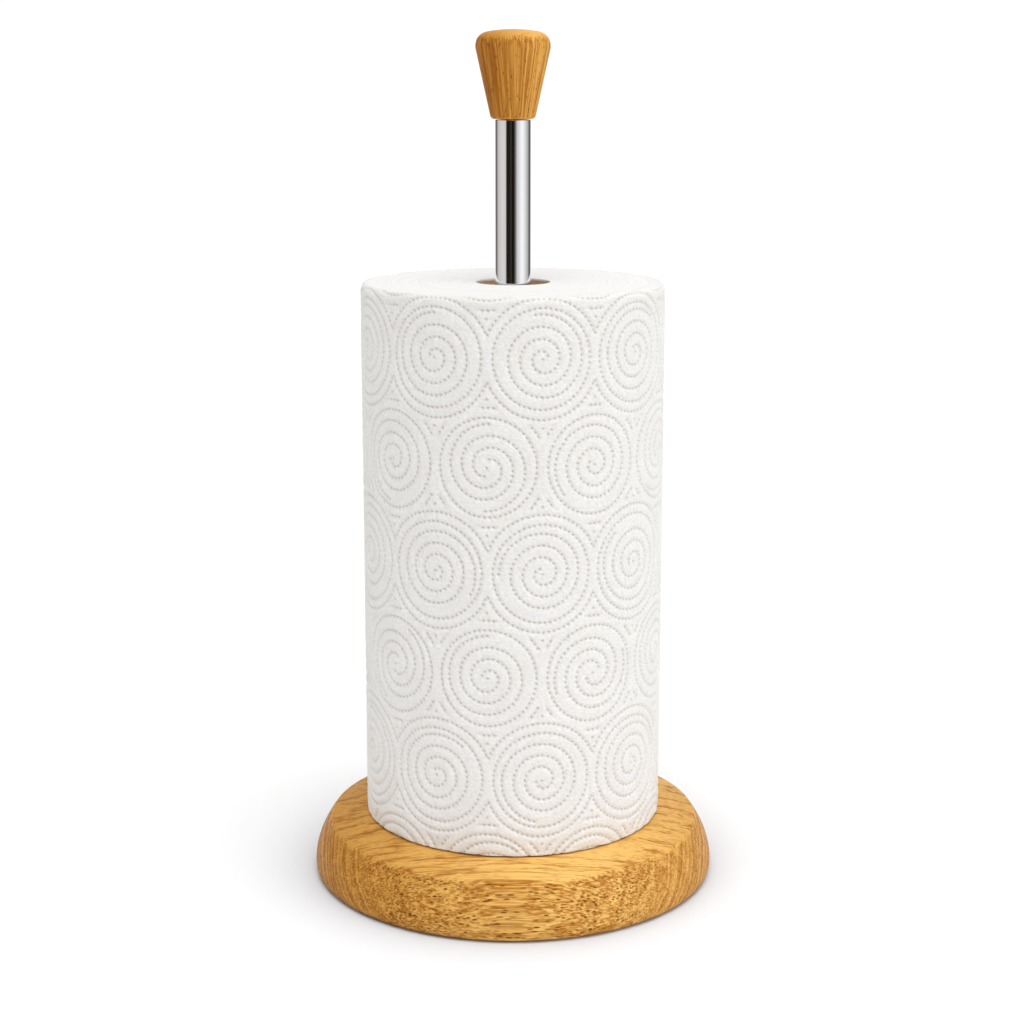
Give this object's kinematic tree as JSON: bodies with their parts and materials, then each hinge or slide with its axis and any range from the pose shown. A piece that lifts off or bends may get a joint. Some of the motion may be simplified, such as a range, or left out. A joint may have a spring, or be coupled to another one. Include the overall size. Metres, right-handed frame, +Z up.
{
  "type": "paper towel holder",
  "caption": "Free-standing holder: round wooden base, slim chromed post and turned wooden knob, with an embossed roll of paper towels on its cardboard core.",
  "frame": {"origin": "on the post's axis, in the plane that the four pads rest on", "axes": "+Z up along the post towards the knob; the front is -Y and +X is to the right of a person facing it"},
  "size_m": [0.2106, 0.2106, 0.4382],
  "materials": {
    "base_wood": "satin",
    "knob_wood": "satin",
    "foot_rubber": "matte",
    "post_chrome": "polished",
    "fastener_steel": "satin",
    "insert_brass": "satin",
    "core_cardboard": "matte",
    "towel_paper": "matte"
  },
  "bodies": {
    "stand": {"base_disc": "base_wood", "foot_pad_1": "foot_rubber", "foot_pad_2": "foot_rubber", "foot_pad_3": "foot_rubber", "foot_pad_4": "foot_rubber", "post_tube": "post_chrome", "tube_bottom_plug": "fastener_steel", "tube_top_plug": "fastener_steel", "base_bolt": "fastener_steel", "flat_washer": "fastener_steel", "spring_washer": "fastener_steel", "knob": "knob_wood", "knob_insert": "insert_brass", "knob_stud": "fastener_steel"},
    "core": {"cardboard_core": "core_cardboard"},
    "roll": {"paper_roll": "towel_paper"}
  },
  "joints": [
    {"name": "roll_lift", "type": "slide", "parent": "stand", "child": "core", "axis": [0, 0, 1], "range_m": [0, 0.415]},
    {"name": "roll_spin", "type": "hinge", "parent": "core", "child": "roll", "pos_m": [0, 0, 0.173], "axis": [0, 0, 1], "continuous": true}
  ]
}
